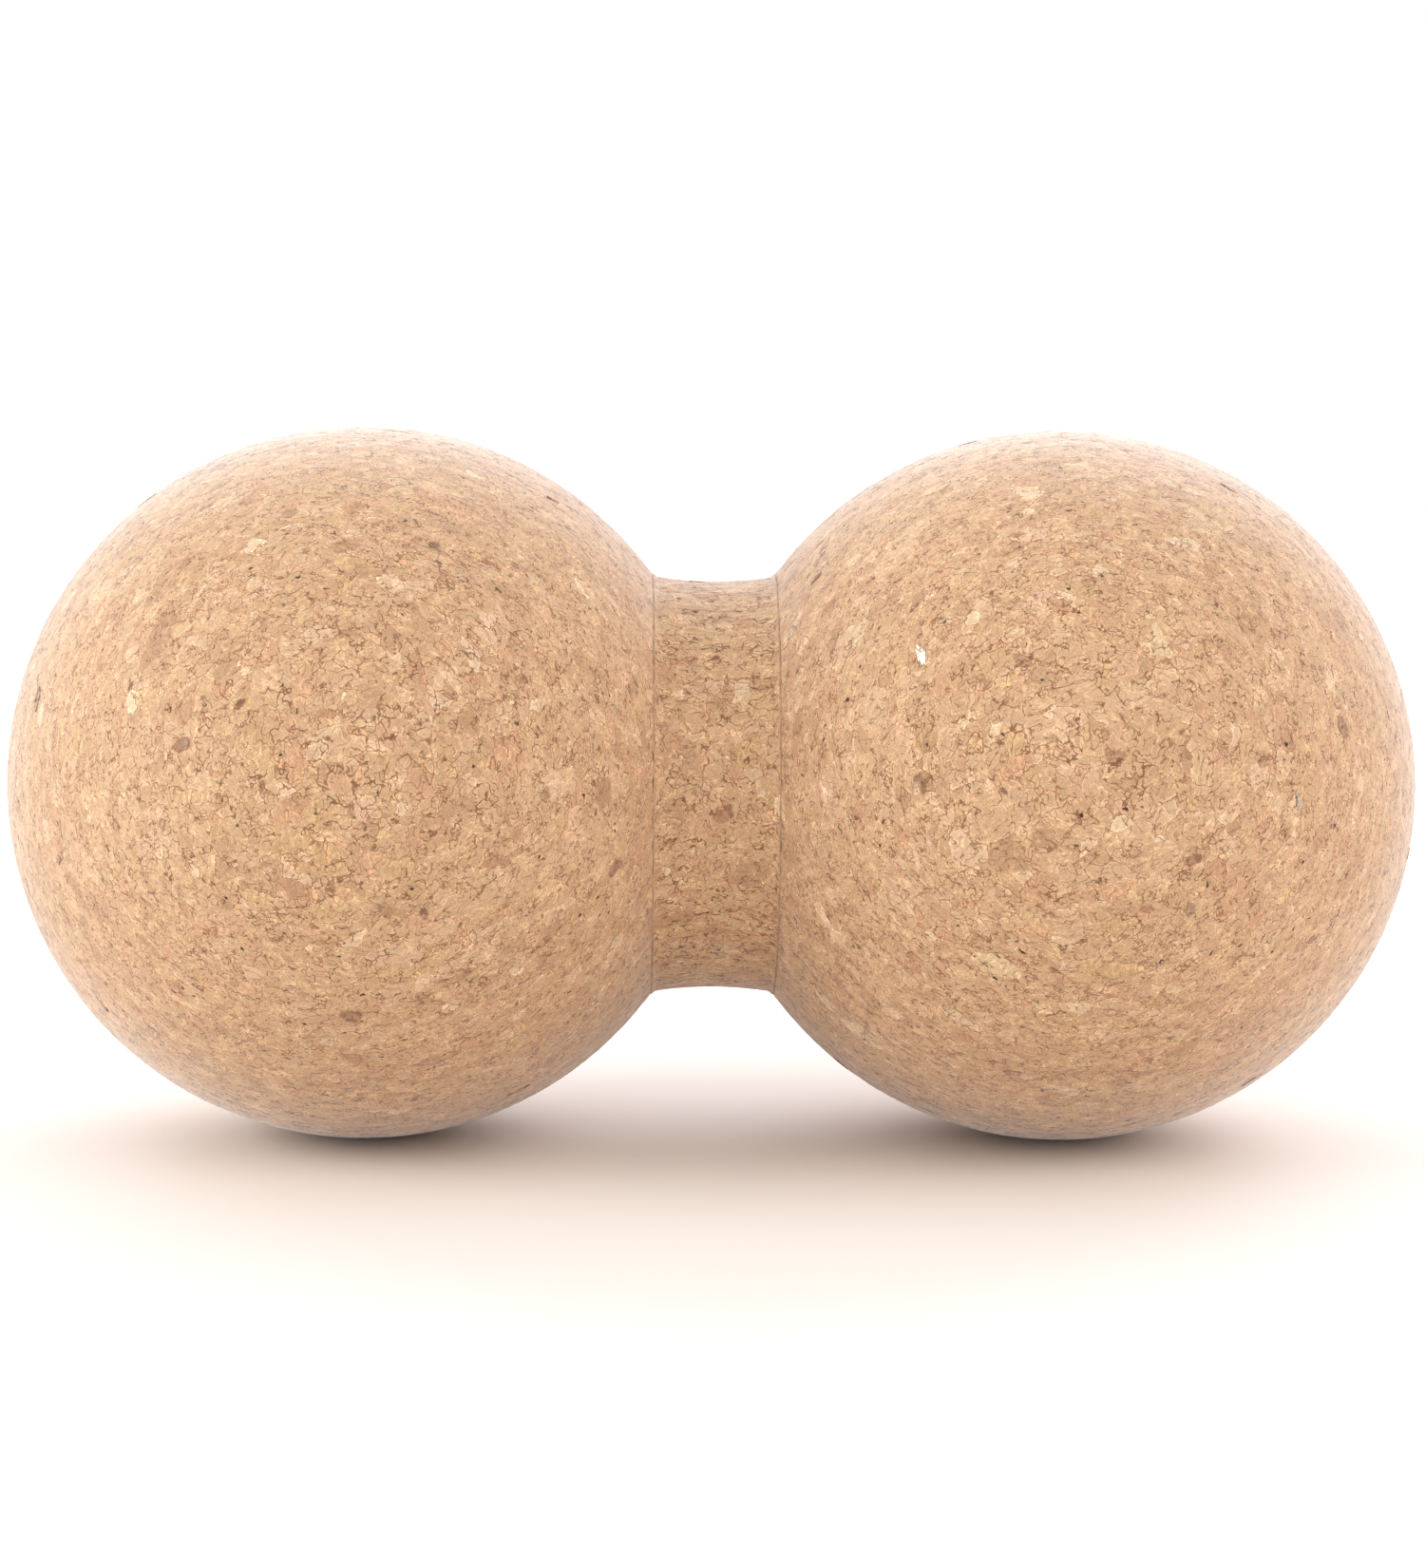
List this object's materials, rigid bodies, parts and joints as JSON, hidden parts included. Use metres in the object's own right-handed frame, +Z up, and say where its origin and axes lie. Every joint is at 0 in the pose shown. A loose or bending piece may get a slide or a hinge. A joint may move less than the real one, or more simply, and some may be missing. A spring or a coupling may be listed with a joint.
{
  "type": "duo massage ball",
  "caption": "Duo massage ball of pressed cork: two round balls joined end to end by a short waisted neck.",
  "frame": {"origin": "middle of the neck, on the axis that both balls share", "axes": "+X from the left ball to the right ball along the object's axis, +Y away from the front, +Z up; the object lies on its side on both balls"},
  "size_m": [0.1582, 0.08, 0.08],
  "materials": {
    "cork": "matte, sanded agglomerated cork",
    "bark_grain": "matte, dark outer bark",
    "pale_grain": "matte, dense pale cork",
    "white_chip": "matte, nearly white",
    "adhesive": "satin, set adhesive"
  },
  "bodies": {
    "root": {"left_ball": "cork", "left_ball_bark_grains": "bark_grain", "left_ball_pale_grains": "pale_grain", "right_ball": "cork", "right_ball_bark_grains": "bark_grain", "right_ball_pale_grains": "pale_grain", "right_ball_white_chip": "white_chip", "neck": "cork", "neck_bark_grains": "bark_grain", "neck_pale_grains": "pale_grain", "left_glue_film": "adhesive", "right_glue_film": "adhesive"}
  },
  "joints": []
}
